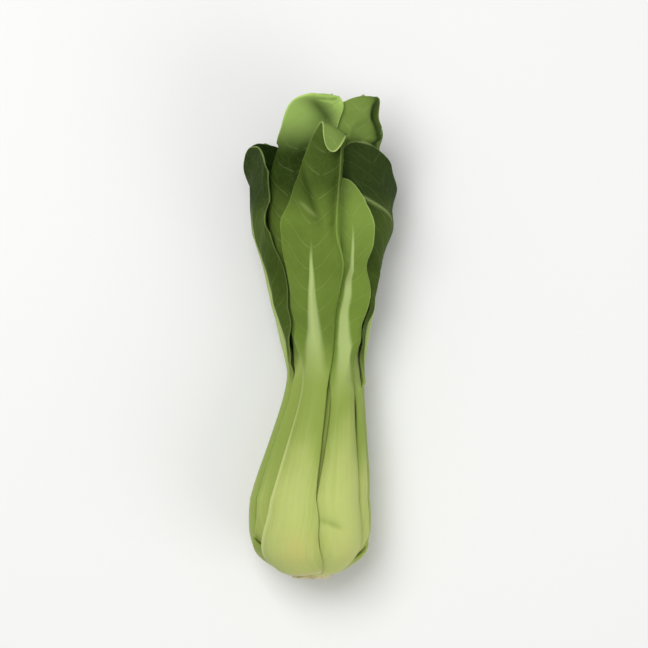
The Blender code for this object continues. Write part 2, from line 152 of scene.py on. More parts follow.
ROLL_START = 0.020  # how far above the neck a margin starts to roll
ROLL_FULL = 0.050  # and how far above it the margin is rolled in full
TIP_ROLL = 0.0080  # length over which a blade's tip rolls, before it runs on straight
TIP_ROLL_BOW = 14  # how much sooner it rolls beside the middle, for each metre across, squared
FOLD_BACK = 0.0004  # half the width of a fold's round back
FOLD_END = 0.004  # length of a leaf's tip over which its folds fade out
FOLD_SQUARENESS = 4  # 2 for a fold that dies away evenly along its line, more for a sudden end
LEAST_ANGLE = 0.000001  # the least angle that a strip bends by, in radians
ROLL_CLEARANCE = 1.5 * BLADE_THICKNESS  # from a rolled margin's middle to the leaf outside it
STEM_OUTLINE = (  # (distance, radius) of the stem inside the stalks
    (0.0000, 0.0062),
    (0.0004, 0.0070),
    (0.0012, 0.0074),
    (0.0030, 0.0070),
    (0.0080, 0.0054),
    (0.0160, 0.0038),
    (0.0260, 0.0020),
    (0.0310, 0.0010),
)
STEM_SIDES = 96  # points round the stem
VESSEL_DEPTH = 0.0002  # how deep the middles of its vessels lie in the cut face

# What only the fine leaves have
ROW_STEP = 0.0007  # distance between a leaf's rows of points
COLUMNS = 64  # points across a leaf
END_STEPS = (0, 0.00004, 0.00016, 0.00036, 0.00064)  # distances of the first rows from an end
END_LENGTH = 0.001  # distance from an end to the first of the even rows
MARGIN_ROUND = 0.0006  # how far in from its margin a leaf comes to its full thickness
BASE_ROUND = 0.0020  # and how far up from its lower end
BASE_BOW = 14  # how far up the lower end runs at each side, for each metre across, squared
BASE_LENGTH = 0.020  # length of stalk over which its rows straighten
CRUMPLE_LENGTHS = (0.041, 0.029, 0.021, 0.015, 0.011)  # wavelengths of a blade's soft folds
CRUMPLE_HEIGHT = 0.024  # height of each fold, as a share of its length
CRUMPLE_TURN = 1.3  # the most that a fold runs aslant, in radians either way
CRUMPLE_MIDDLE = 0.3  # height of the folds along the middle, as a share of that at the margins
CRUMPLE_SEED = 40  # with the leaf's place added
VEIN_SLANT = 0.75  # how far up a side vein runs for each metre outwards
VEIN_CURL = 16  # and how much more for each metre squared
VEIN_WOBBLE = 0.0007  # height of each of the two waves in its course
WOBBLE_ACROSS = (0.0021, 0.0034)  # how far outwards each wave takes, for a radian
WOBBLE_ALONG = 0.009  # and how far along the blade the second one does
CREST_WIDTH = 0.0006  # half the width of the pale line along a fold
RIDGE = (0.66, 0.92)  # parts of a stalk's half width between which the painted highlight on its left margin comes up
WARM_WIDTH = 0.0065  # half the width of the warm patch at a stalk's base
TIP_MARGIN_FROM = 0.84  # part of a blade's length from which its margin's painted highlight is as strong as its tip's
TIP_LIGHT_FULL = 0.95  # part of a blade's length at which its painted light is as strong as it gets
LIGHT_LOW = 0.42  # how much lighter a blade is near its stalk
LIGHT_BETWEEN = (0.132, 0.150)  # distances from the butt between which that fades out
RIB_BLUR = 1.5  # how far from its middle the midrib's colour can reach, in its half widths
RIB_PAST = 0.010  # and how far past its upper end
MERGE = 0.000002  # points of one surface that are nearer than this are made one

# The pattern of the leaves' skin. A strength is 1 for a mark that covers what is under it.
STREAKS_PER_METRE = (900.0, 22.0)  # how fine a stalk's streaks are, across it and along it
CLOUDS_PER_METRE = (70.0, 45.0)  # and the soft patches on every leaf
GREEN_AT_MARGINS = 0.40  # how much greener a stalk is at its margins
GREEN_AT_TOP = 0.90  # and towards its upper end, partly its own green and partly painted shade at the neck, where shade falls between the stalks
GREEN_BETWEEN = (0.028, 0.072)  # distances from the butt between which that comes up
GREEN_BY_STREAKS = 0.45  # how much it varies with the streaks
GREEN_BY_CLOUDS = 0.6  # and with the patches
LEFT_HIGHLIGHT_STRENGTH = 0.6  # how much less green a stalk is under the painted highlight on its left margin, and how clearly that highlight shows
WARM_BETWEEN = (0.022, 0.008)  # distances from the butt between which the warm patch comes up
WARM_CLOUDS = (0.30, 0.62)  # and the parts of the soft patches in which it does
CUT_STRENGTH = 0.6  # how clearly the colour of cut flesh shows at its lower end
CUT_BETWEEN = (0.0030, 0.0004)  # distances from that end between which it comes up
PAINTED_STALK_SHADE = 0.7  # how clearly the painted shade along its folds shows
TONE_RANGE = (-0.05, 1.05)  # tones of the darkest and of the lightest green
TONE_BY_CLOUDS = 0.35  # how much a blade's tone varies with the patches
VEIN_END = 0.3  # a side vein's width at the margin, as a share of that at the midrib
VEIN_FROM = (0.02, 0.10)  # parts of the half width between which it comes up
VEIN_STRENGTH = (0.07, 0.18)  # on a dark blade and on a light one
VEIN_TONES = (0.0, 0.6)  # which are these tones
NET_PER_METRE = 330.0  # how fine the net of small veins is
NET_LINE = 0.10  # width of its lines, as a share of its meshes
NET_STRENGTH = 0.03
NET_STEP = 0.05  # how far one leaf's net is from the next one's in the same pattern
RIB_BETWEEN = (0.10, 0.60)  # nearness to the midrib's middle between which its colour comes up
MARGIN_HIGHLIGHT_BETWEEN = (0.0005, 0.0001)  # distances from the rim between which the painted highlight along the margin comes up
GRAIN_PER_METRE = 1800.0  # how fine a blade's grain is
BUMP_HEIGHT = 0.00025  # of the fine relief that only the light shows
BUMP_STRENGTH = 0.4
NET_DEPTH = -0.25  # share of that height that the net takes, inwards
GRAIN_HEIGHT = 0.2  # and the blade's grain
STREAK_HEIGHT = 0.8  # and the stalk's streaks
ROUGH_BY_CLOUDS = 0.15  # how much the roughness varies with the patches
GLOSS = 0.05  # how strongly the skin mirrors what is round it
GLOW = 0.45  # share of the light that passes through the skin before it leaves again
GLOW_DEPTH = 0.0018  # how far it goes
GLOW_COLOURS = (0.7, 1.0, 0.25)  # shares of that for red, green and blue light


@dataclass
class Fold:
    """A ridge in a leaf, with a steep side and a gentle one. Lengths are in metres."""

    across: float  # its middle, from the leaf's middle line
    y: float  # and from the butt
    direction: float  # degrees that it runs up towards the right
    half_length: float
    height: float
    steep_side: float  # width of the side below its line
    gentle_side: float  # and of the side above it
    line: float = 0.0  # how pale the line along it is
    shade: float = 0.0  # how much painted shade darkens the leaf along it

    def at(self, y, across):
        """(distance past the line, share of the ridge's height left so far along it)"""
        turn = math.radians(self.direction)
        off_y, off_across = y - self.y, across - self.across
        beyond = off_y * math.cos(turn) - off_across * math.sin(turn)
        along = off_y * math.sin(turn) + off_across * math.cos(turn)
        return beyond, np.exp(-((along / self.half_length) ** FOLD_SQUARENESS))

    def nearness(self, y, across):
        """1 on the line and less the further from it, by the width of each side."""
        beyond, left = self.at(y, across)
        width = np.where(beyond < 0, self.steep_side, self.gentle_side)
        off = np.hypot(beyond, FOLD_BACK) - FOLD_BACK
        return left * np.exp(-off / width)


@dataclass
class Leaf:
    """One leaf. Lengths are in metres and angles in degrees."""

    place: int  # its place in the spiral, from the outermost leaf
    tip: float  # distance from the butt to the leaf's tip
    half_width: float  # half the blade's greatest width
    spread: float  # distance of the open blade from the head's axis
    tip_out: float  # how much further out the tip bends
    openness: float  # 1 for a flat blade, 0 for one that follows a circle round the axis, or less
    lean: float  # how far round the head the tip stands from the stalk
    ruffle: float  # height of the waves along the margin
    waves: float  # number of waves along the margin
    size: float  # of its stalk, against a full-sized one
    inset: float  # how far the stalk stands inside the head's outline
    start: float  # distance from the butt to the stalk's lower end
    widest: float = 0.62  # part of the blade's length at which it is widest
    blunt: float = 2.4  # 2 for a blade that ends as an ellipse does, more for a squarer tip
    rolls: tuple = (0, 0, 0)  # how far the left margin, right margin and tip roll outwards
    margin: float = 0.006  # how much of each margin is rolled
    curl: float = 0.011  # how much of the tip is rolled or lies beyond the roll
    slant: float = 0.0  # how much sooner it rolls on the right, for each metre across
    rib: float = 0.75  # part of the blade's length that the midrib shows
    tone: float = 0.4  # 0 or less for the darkest green and 1 for the lightest
    pale: float = 0.0  # how much paler it gets towards its tip: painted light on the upper blade, where the light falls most
    pale_from: float = 0.35  # and the part of its length where that starts
    edge: float = 0.3  # how strong the painted highlight along its margins is
    tip_edge: float = 0.3  # and along the margin of its tip
    shear: float = 0.0  # how much lower its right side ends, or its left side if below 0
    base_turn: float = 0.0  # how far its base is turned round the head
    widths: tuple = STALK_HALF_WIDTH
    green: float = 0.2  # how much greener its stalk is
    ridge: float = 0.0  # strength of the painted highlight along the stalk's left margin
    warm: float = 0.4  # strength of the warm patch at its base
    warm_at: float = 0.0  # and where that is, from the stalk's middle
    folds: tuple = ()  # its sharp folds


# From the outermost blade to the innermost, with the values in the order given above
LEAVES = (
    Leaf(
        0, 0.1790, 0.0124, 0.0285, 0.000, -0.3, 36, 0.0009, 2.4, 1.00, 0.0000, 0.0000,
        0.42, 1.3, (20, 160, 165), 0.0045, 0.0142, 0.5, rib=0.45, tone=0.36, pale=0.35,
        pale_from=0.84, edge=0.12, tip_edge=0.7, base_turn=-13, widths=FIRST_HALF_WIDTH,
        green=0.14, ridge=0.8, warm=1.0, warm_at=0.006,
        folds=(
            Fold(-0.0009, 0.1432, -61, 0.0125, 0.0026, 0.0014, 0.0060),
            # a shallow hollow beside the fold above, darkened with painted shade
            Fold(-0.0028, 0.1425, -63, 0.0115, -0.0008, 0.0022, 0.0010, shade=0.55),
            Fold(-0.0026, 0.1378, -36, 0.0046, 0.0002, 0.0010, 0.0010, line=0.25),
        ),
    ),
    Leaf(
        3, 0.1500, 0.0089, 0.0268, 0.000, 0.2, -14, 0.0012, 2.2, 0.95, 0.0006, 0.0004,
        0.60, 1.6, (0, 50, 30), tone=0.60, pale=0.15, edge=0.45, base_turn=10,
        green=0.0, warm=0.25,
        # a small dent near the base, darkened with painted shadow below the stalk's fold
        folds=(Fold(-0.0064, 0.0212, -22, 0.0050, -0.0010, 0.0006, 0.0016, shade=0.9),),
    ),
    Leaf(
        1, 0.1635, 0.0172, 0.0252, 0.000, 0.15, -85, 0.0008, 2.6, 1.00, 0.0000, 0.0005,
        0.62, 3.6, (0, 20, 15), rib=0.45, tone=-0.08, pale=0.05, edge=0.12, shear=0.24,
        green=0.3,
        folds=(Fold(-0.0080, 0.1393, -28, 0.0110, 0.0014, 0.0030, 0.0012, line=0.40),),
    ),
    Leaf(
        2, 0.1620, 0.0165, 0.0274, 0.000, 0.2, 50, 0.0008, 2.7, 1.00, 0.0000, 0.0004,
        0.60, 1.7, (0, 40, 30), tone=-0.08, pale=0.05, edge=0.20, green=0.55,
    ),
    Leaf(
        5, 0.1836, 0.0108, 0.0255, 0.001, 0.1, 57, 0.0008, 2.3, 0.95, 0.0008, 0.0016,
        0.78, 4.6, (40, 0, 60), rib=0.25, tone=0.16, pale=0.95, pale_from=0.74,
        edge=0.4, tip_edge=0.6, green=0.55,
        folds=(
            # the cup under the tip, darkened with painted shade
            Fold(0.0024, 0.1745, -38, 0.0085, -0.0030, 0.0034, 0.0026, shade=0.80),
            Fold(0.0064, 0.1765, -30, 0.0070, 0.0022, 0.0016, 0.0034),
        ),
    ),
    Leaf(
        4, 0.1600, 0.0245, 0.0265, 0.000, 0.2, 6, 0.0018, 2.6, 0.95, 0.0000, 0.0004,
        tone=0.25, base_turn=8,
    ),
    Leaf(
        8, 0.1822, 0.0135, 0.0235, 0.003, 0.2, 38, 0.0012, 2.6, 0.90, 0.0022, 0.0080,
        0.70, 2.8, (0, 50, 50), rib=0.35, tone=0.55, pale=0.25,
        folds=(
            Fold(0.0052, 0.1688, 114, 0.0200, 0.0024, 0.0020, 0.0100),
            # a hollow right of the fold, darkened with painted shade on that side
            Fold(0.0090, 0.1688, 114, 0.0200, -0.0006, 0.0060, 0.0014, shade=0.9),
        ),
    ),
    Leaf(
        6, 0.1570, 0.0190, 0.0250, 0.000, 0.2, -6, 0.0018, 2.8, 0.90, 0.0014, 0.0035,
        rolls=(0, 40, 30), tone=0.30,
    ),
    # its low tone is partly its own dark green and partly painted shade, deep in the gap between the
    # leaves round it
    Leaf(
        7, 0.1635, 0.0170, 0.0260, 0.000, 0.2, 10, 0.0016, 2.3, 0.90, 0.0014, 0.0025,
        rolls=(0, 20, 20), tone=0.03, edge=0.10,
    ),
    Leaf(9, 0.1690, 0.0170, 0.0195, 0.002, 0.1, -40, 0.0012, 2.2, 0.70, 0.0040, 0.0140, tone=0.50),
    Leaf(10, 0.1560, 0.0150, 0.0150, 0.001, 0.1, 0, 0.0010, 2.0, 0.60, 0.0060, 0.0150, tone=0.60),
    Leaf(11, 0.1340, 0.0075, 0.0085, 0.001, 0.0, 0, 0.0006, 1.8, 0.40, 0.0082, 0.0180, tone=0.70),
)


def smooth_line(points, at):
    """Values at stations along a smooth line through (station, value) points, with no overshoot."""
    stations, values = np.array(points).T
    slopes = np.diff(values) / np.diff(stations)
    tangents = np.concatenate([slopes[:1], (slopes[:-1] + slopes[1:]) / 2, slopes[-1:]])
    tangents[1:-1][slopes[:-1] * slopes[1:] <= 0] = 0
    at = np.clip(at, stations[0], stations[-1])
    i = np.clip(np.searchsorted(stations, at) - 1, 0, len(stations) - 2)
    step = stations[i + 1] - stations[i]
    t = (at - stations[i]) / step
    return (
        (1 + 2 * t) * (1 - t) ** 2 * values[i]
        + t * (1 - t) ** 2 * step * tangents[i]
        + t * t * (3 - 2 * t) * values[i + 1]
        - t * t * (1 - t) * step * tangents[i + 1]
    )


def smooth_step(low, high, at):
    t = np.clip((at - low) / (high - low), 0, 1)
    return t * t * (3 - 2 * t)


def quarter_round(at):
    """A quarter of a circle that rises from 0 to 1 while its input does."""
    return np.sqrt(1 - (1 - np.clip(at, 0, 1)) ** 2)


def rolled_by(past, angle, length):
    """How far back, and how far out, a strip's points move when it bends by an angle over a
    length, and runs on straight from there."""
    bend = np.maximum(angle, LEAST_ANGLE) / length
    arc = np.minimum(past, length)
    beyond = past - arc
    forward = np.sin(arc * bend) / bend + beyond * np.cos(bend * length)
    return past - forward, (1 - np.cos(arc * bend)) / bend + beyond * np.sin(bend * length)


def soft_least(a, b, softness=PRESS_SOFTNESS):
    """The smaller of a and b, rounded off where they meet and never above either."""
    h = np.clip(softness - np.abs(a - b), 0, None) / softness
    return np.minimum(a, b) - h * h * softness / 4


class Layers:
    """The head as layers round its axis, on a grid of distances from the butt and directions."""

    STEP = 0.0005
    SPARE_STEPS = 16  # past the head's length
    DIRECTIONS = 480
    FAR = 1.0  # stands for no limit
    STEEPEST = 2.5  # the most that a slope is allowed for
    LAST = 1.001  # how far before its end the grid is read at most, in steps

    def __init__(self):
        self.along = np.arange(0, HEAD_LENGTH + self.SPARE_STEPS * self.STEP, self.STEP)
        self.turns = np.arange(self.DIRECTIONS) * 2 * math.pi / self.DIRECTIONS
        self.y, self.angle = np.meshgrid(self.along, self.turns, indexing="ij")
        down = np.clip(-np.cos(self.angle), AXIS_HEIGHT / self.FAR, None)
        self.limit = AXIS_HEIGHT / down

    def steepness(self, radius):
        """How much longer a leaf's thickness is along the radius than through the leaf."""
        by_y = np.gradient(radius, self.STEP, axis=0)
        wrapped = np.concatenate([radius[:, -1:], radius, radius[:, :1]], axis=1)
        by_turn = (wrapped[:, 2:] - wrapped[:, :-2]) / (2 * self.turns[1])
        steep = np.sqrt(1 + by_y**2 + (by_turn / radius) ** 2)
        return np.minimum(steep, self.STEEPEST)

    def sample(self, grid, y, angle):
        """The grid's value at each point, between its nodes."""
        i = np.clip(y / self.STEP, 0, len(self.along) - self.LAST)
        j = (angle / (2 * math.pi) % 1) * self.DIRECTIONS
        i0, j0 = i.astype(int), j.astype(int) % self.DIRECTIONS
        j1 = (j0 + 1) % self.DIRECTIONS
        fi, fj = i - i0, j - np.floor(j)
        low = grid[i0, j0] * (1 - fj) + grid[i0, j1] * fj
        high = grid[i0 + 1, j0] * (1 - fj) + grid[i0 + 1, j1] * fj
        return low * (1 - fi) + high * fi


class LeafShape:
    """The sheet of one leaf, as a radius round the head's axis, with its thickness either side."""

    def __init__(self, leaf, layers):
        self.leaf, self.layers = leaf, layers
        self.neck = NECK * (SHORT_NECK + (1 - SHORT_NECK) * min(leaf.tip / HEAD_LENGTH, 1))
        self.midrib_end = self.neck + leaf.rib * (leaf.tip - self.neck)
        self.settle()

    def turn(self, y):
        """Direction of the leaf's middle line round the axis."""
        leaf = self.leaf
        up = np.clip((y - LEAN_FROM) / (leaf.tip - LEAN_FROM), 0, 1)
        base = leaf.base_turn * (1 - smooth_step(*BASE_TURNS_BELOW, y))
        turn = FIRST_TURN + leaf.place * SPIRAL_TURN
        return np.radians(turn + leaf.lean * up**LEAN_POWER + base)

    def middle(self, y):
        """Distance of the leaf's middle line from the axis, before its neighbours press on it."""
        leaf = self.leaf
        closed = [(s, max(r - leaf.inset, NEAREST)) for s, r in HEAD_OUTLINE if s < self.neck]
        neck = max(HEAD_OUTLINE[-1][1] - leaf.inset, NEAREST)
        full = min(FULL_SPREAD, leaf.tip - STRAIGHT_TIP)
        spread = [
            (self.neck, neck),
            ((self.neck + full) / 2, neck + HALFWAY_OUT * (leaf.spread - neck)),
            (full, leaf.spread),
            (leaf.tip, leaf.spread + leaf.tip_out),
        ]
        return smooth_line(closed + spread, y)

    def half_width(self, y):
        """Half the leaf's whole width."""
        leaf = self.leaf
        stalk = smooth_line(leaf.widths, y * NECK / self.neck) * leaf.size
        widest = self.neck + leaf.widest * (leaf.tip - self.neck)
        growing = smooth_step(self.neck - BLADE_START, widest, y)
        blade = stalk + (leaf.half_width - stalk) * growing
        over = np.clip((y - widest) / (leaf.tip - widest), 0, 1)
        return blade * np.sqrt(1 - over**leaf.blunt)

    def midrib_half_width(self, y):
        """Half the width of the stalk, and of the midrib that it turns into above the neck."""
        whole = self.half_width(y)
        up = np.clip((y - self.neck) / (self.midrib_end - self.neck), 0, 1)
        rib = MIDRIB_FAR + (MIDRIB_NEAR * self.leaf.size - MIDRIB_FAR) * (1 - up) ** MIDRIB_TAPER
        into_rib = smooth_step(self.neck - MIDRIB_START, self.neck, y)
        return whole * (1 - into_rib) + np.minimum(rib, whole) * into_rib

    def blade_share(self, y):
        return smooth_step(self.neck - BLADE_START, self.neck + BLADE_START, y)

    def relief(self, y, across):
        """The stalk's thickness beyond that of its margins."""
        core = smooth_line(STALK_THICKNESS, y * NECK / self.neck) * self.leaf.size
        width = self.midrib_half_width(y)
        dome = np.clip(1 - (across / np.maximum(width, MERGE)) ** 2, 0, 1)
        dome = dome ** (STALK_DOME + (MIDRIB_DOME - STALK_DOME) * self.blade_share(y))
        fade = 1 - smooth_step(self.midrib_end - MIDRIB_FADE, self.midrib_end, y)
        return np.clip(core - self.edge(y), 0, None) * dome * fade

    def edge(self, y):
        return STALK_EDGE + (BLADE_THICKNESS - STALK_EDGE) * self.blade_share(y)

    def crumple(self, y, across):
        """Soft folds of the blade: waves of a few lengths, each in a direction of its own."""
        draw = np.random.default_rng(CRUMPLE_SEED + self.leaf.place)
        total = 0
        for length in CRUMPLE_LENGTHS:
            turn, phase = draw.uniform(-CRUMPLE_TURN, CRUMPLE_TURN), draw.uniform(0, 2 * math.pi)
            at = y * math.cos(turn) + across * math.sin(turn)
            total = total + length * np.sin(2 * math.pi * at / length + phase)
        return CRUMPLE_HEIGHT * total

    def wanted(self, y, across):
        """Radius of the outer face before the neighbours press on it."""
        leaf = self.leaf
        width = self.half_width(y)
        side = np.clip(np.abs(across) / np.maximum(width, MERGE), 0, 1)
        in_blade = self.blade_share(y)
        middle = self.middle(y)
        opening = leaf.openness * across**2 / (2 * middle)
        along = (y - self.neck) / (leaf.tip - self.neck)
        phase = LEAF_PHASE * leaf.place + np.where(across > 0, SIDE_PHASE, 0)
        wave = np.sin(2 * math.pi * leaf.waves * along + phase)
        wave = wave * leaf.ruffle * side**WAVES_AT_MARGIN
        crumple = self.crumple(y, across) * (CRUMPLE_MIDDLE + (1 - CRUMPLE_MIDDLE) * side)
        folds = sum(fold.height * fold.nearness(y, across) for fold in leaf.folds)
        folds = folds * smooth_step(0, FOLD_END, leaf.tip - y)
        return middle + folds + in_blade * (opening + wave + crumple)

    def settle(self):
        """Fits the leaf under the leaves outside it, then takes its room from those inside."""
        layers, leaf = self.layers, self.leaf
        y, width = layers.y, self.half_width(layers.y)
        across = self.across(y, layers.angle)
        held = np.clip(across, -width, width)
        relief = self.relief(y, held)
        self.free = layers.limit
        in_blade = self.blade_share(y)
        wanted, room = self.wanted(y, held), self.free - relief * in_blade
        side = np.abs(held) / np.maximum(width, MERGE)
        fallen = LOBE_DROP * side**2 * (1 - in_blade) * smooth_step(0, ROOM_TO_FALL, room - wanted)
        self.outer = soft_least(wanted - fallen, room)
        steep = layers.steepness(self.outer)
        inward = self.edge(y) * steep + relief * (1 - in_blade)
        past_side = np.clip(np.abs(across) - width, 0, None)
        past_end = np.clip(y - leaf.tip, 0, None) + np.clip(leaf.start - y, 0, None)
        past = np.hypot(past_side, past_end)
        rise = past**2 / (past + STALK_REACH + (BLADE_REACH - STALK_REACH) * in_blade)
        gap = STALK_GAP + (BLADE_GAP - STALK_GAP) * in_blade
        clear = self.outer - inward - gap * steep + rise
        layers.limit = np.minimum(layers.limit, clear)

    def reach(self, y):
        """Distance from the axis at which widths are measured."""
        return np.maximum(self.middle(y), LEAST_REACH)

    def across(self, y, angle):
        """Distance across the leaf from its middle line to a direction round the axis."""
        off = (angle - self.turn(y) + math.pi) % (2 * math.pi) - math.pi
        return off * self.reach(y)

    def sheet(self, y, across, width):
        """(points of the leaf's outer skin without its midrib, and with it, thickness inwards,
        thickness outwards), with the margins and the tip rolled as far as the leaves outside
        let them."""
        leaf, share, relief = self.leaf, self.blade_share(y), self.relief(y, across)
        inward = self.edge(y) + relief * (1 - share)
        outward = relief * share
        left, right, tip = np.radians(leaf.rolls)
        rolled = np.minimum(leaf.margin, ROLL_SHARE * width)
        past = np.clip(np.abs(across) - width + rolled, 0, None)
        angle = np.where(across < 0, left, right) * rolled / leaf.margin
        angle = angle * smooth_step(self.neck + ROLL_START, self.neck + ROLL_FULL, y)
        back, lift = rolled_by(past, angle, np.maximum(rolled, MERGE))
        across = across - np.sign(across) * back
        sooner = TIP_ROLL_BOW * across**2 + leaf.slant * across
        past = np.clip(y - leaf.tip + leaf.curl + sooner, 0, None)
        back, tip_lift = rolled_by(past, tip, TIP_ROLL)
        y = y - back
        angle = self.turn(y) + across / self.reach(y)
        outer = self.layers.sample(self.outer, y, angle)
        least = smooth_line(STEM_OUTLINE, y) * (y < STEM_OUTLINE[-1][0]) + SEAM
        outer = np.maximum(outer, least + LEAST_THICKNESS)
        inward = np.minimum(inward, outer - least)
        free = self.layers.sample(self.free, y, angle) - ROLL_CLEARANCE - outer
        outer = outer + np.clip(soft_least(lift + tip_lift, free), 0, None)
        return lay(y, outer, angle), lay(y, outer + outward, angle), inward, outward


def lay(y, radius, angle):
    """Points of the head as it lies, from distances along its axis, radii and directions."""
    x = AXIS.x + smooth_line(BEND, y) + radius * np.sin(angle)
    return np.stack([x, BUTT + y, AXIS.z + radius * np.cos(angle)], axis=-1)


def normals_of(points):
    """Unit normals of a grid of points, towards the outside of the head."""
    up, round_ = np.gradient(points, axis=0), np.gradient(points, axis=1)
    normals = np.cross(round_, up)
    length = np.linalg.norm(normals, axis=-1, keepdims=True)
    normals = normals / np.maximum(length, np.finfo(float).tiny)
    normals[-1] = normals[-2]
    return normals


def store(mesh, name, values):
    """Keeps one number, or one vector, for each point of a mesh."""
    is_vector = np.ndim(values) > 1
    layer = mesh.attributes.new(name, "FLOAT_VECTOR" if is_vector else "FLOAT", "POINT")
    layer.data.foreach_set("vector" if is_vector else "value", np.ravel(values).astype(np.float32))


class LeafGrid:
    """The points of one leaf: rows from its lower end to its tip, and columns across it."""

    def __init__(self, shape):
        leaf = shape.leaf
        ends = np.array(END_STEPS)
        count = int((leaf.tip - leaf.start) / ROW_STEP)
        between = np.linspace(leaf.start + END_LENGTH, leaf.tip - END_LENGTH, count)
        self.rows = np.concatenate([leaf.start + ends, between, leaf.tip - ends[::-1]])[:, None]
        self.columns = np.sin(np.linspace(-math.pi / 2, math.pi / 2, COLUMNS))
        bow = BASE_BOW * (self.columns * shape.half_width(self.rows)) ** 2
        y = self.rows + bow * np.clip(1 - (self.rows - leaf.start) / BASE_LENGTH, 0, 1) ** 2
        self.half_width = shape.half_width(y)
        self.across = self.columns * self.half_width
        self.rim = np.minimum(self.half_width * (1 - np.abs(self.columns)), leaf.tip - y)
        lower = abs(leaf.shear) * self.half_width + leaf.shear * self.across
        self.y = y - lower * smooth_step(shape.neck, leaf.tip, self.rows)


def leaf_skins(shape, grid):
    """(outer skin, inner skin, normals) of a leaf. The skins meet all round its margin."""
    skin, raised, inward, outward = shape.sheet(grid.y, grid.across, grid.half_width)
    normals = normals_of(skin)
    pinch = (1 - quarter_round(grid.rim / MARGIN_ROUND)) * (inward + outward) / 2
    at_base = 1 - quarter_round((grid.rows - shape.leaf.start) / BASE_ROUND)
    sunk = at_base * (inward + outward - 2 * pinch)
    outside = raised - normals * (pinch + sunk)[..., None]
    inside = skin - normals * (inward - pinch)[..., None]
    return outside, inside, normals


def kept_values(shape, grid):
    """What each point of a leaf keeps about itself, for its colours and its veins."""
    leaf, y, across = shape.leaf, grid.y, grid.across
    side = np.abs(across)
    crest, shade = np.zeros(y.shape), np.zeros(y.shape)
    for fold in leaf.folds:
        beyond, left = fold.at(y, across)
        crest = crest + fold.line * left * np.exp(-((beyond / CREST_WIDTH) ** 2))
        # painted shade: darker along the hollows and steep sides of folds, where shade falls
        shade = shade + fold.shade * fold.nearness(y, across)
    up = (y - shape.neck) / (leaf.tip - shape.neck)
    at_tip = smooth_step(TIP_MARGIN_FROM, 1, up)
    vein_at = y - shape.neck - VEIN_SLANT * side - VEIN_CURL * side**2
    first, second = WOBBLE_ACROSS
    wobble = np.sin(side / first + leaf.place) + np.sin(side / second + y / WOBBLE_ALONG)
    rib = 1 - side / np.maximum(RIB_BLUR * shape.midrib_half_width(y), MERGE)
    rib_end = smooth_step(shape.midrib_end - MIDRIB_FADE, shape.midrib_end + RIB_PAST, y)
    return {
        "across": across,
        "along": y,
        "out": side / np.maximum(grid.half_width, MERGE),
        "rim": grid.rim,
        "blade": shape.blade_share(y),
        "rib": np.clip(rib, 0, 1) * (1 - rib_end),
        "vein_at": vein_at + VEIN_WOBBLE * wobble,
        "base": grid.rows - leaf.start,
        "tone": leaf.tone + LIGHT_LOW * (1 - smooth_step(*LIGHT_BETWEEN, y)),
        # painted light, paler towards the tip
        "pale": leaf.pale * smooth_step(leaf.pale_from, TIP_LIGHT_FULL, up),
        "edge": leaf.edge + (leaf.tip_edge - leaf.edge) * at_tip,
        "crest": np.clip(crest, 0, 1),
        # painted shade along the folds
        "shade": np.clip(shade, 0, 1),
        "green": leaf.green,
        # painted highlight along a stalk's left margin
        "ridge": leaf.ridge * smooth_step(*RIDGE, -grid.columns),
        "warm": leaf.warm * np.exp(-(((across - leaf.warm_at) / WARM_WIDTH) ** 2)),
        "number": leaf.place,
    }


def leaf_mesh(name, shape):
    """A closed leaf: its outer and inner skins on one grid."""
    grid = LeafGrid(shape)
    outside, inside, normals = leaf_skins(shape, grid)
    index = np.arange(grid.y.size).reshape(grid.y.shape)
    a, b, c, d = index[:-1, :-1], index[:-1, 1:], index[1:, 1:], index[1:, :-1]
    faces = np.stack([a, b, c, d], axis=-1).reshape(-1, 4)
    faces = np.concatenate([faces, faces[:, ::-1] + index.size])
    mesh = bpy.data.meshes.new(name)
    points = np.concatenate([outside.reshape(-1, 3), inside.reshape(-1, 3)])
    mesh.from_pydata(points.tolist(), [], faces.tolist())
    for key, value in kept_values(shape, grid).items():
        value = np.broadcast_to(value, grid.y.shape)
        store(mesh, key, np.tile(value.ravel(), 2))
    store(mesh, "face_side", np.repeat([1.0, -1.0], index.size))
    store(mesh, "outward", np.tile(normals.reshape(-1, 3), (2, 1)))
    bm = bmesh.new()
    bm.from_mesh(mesh)
    bmesh.ops.remove_doubles(bm, verts=bm.verts, dist=MERGE)
    bmesh.ops.dissolve_degenerate(bm, edges=bm.edges, dist=MERGE / 2)
    bmesh.ops.recalc_face_normals(bm, faces=bm.faces)
    bm.to_mesh(mesh)
    bm.free()
    return mesh


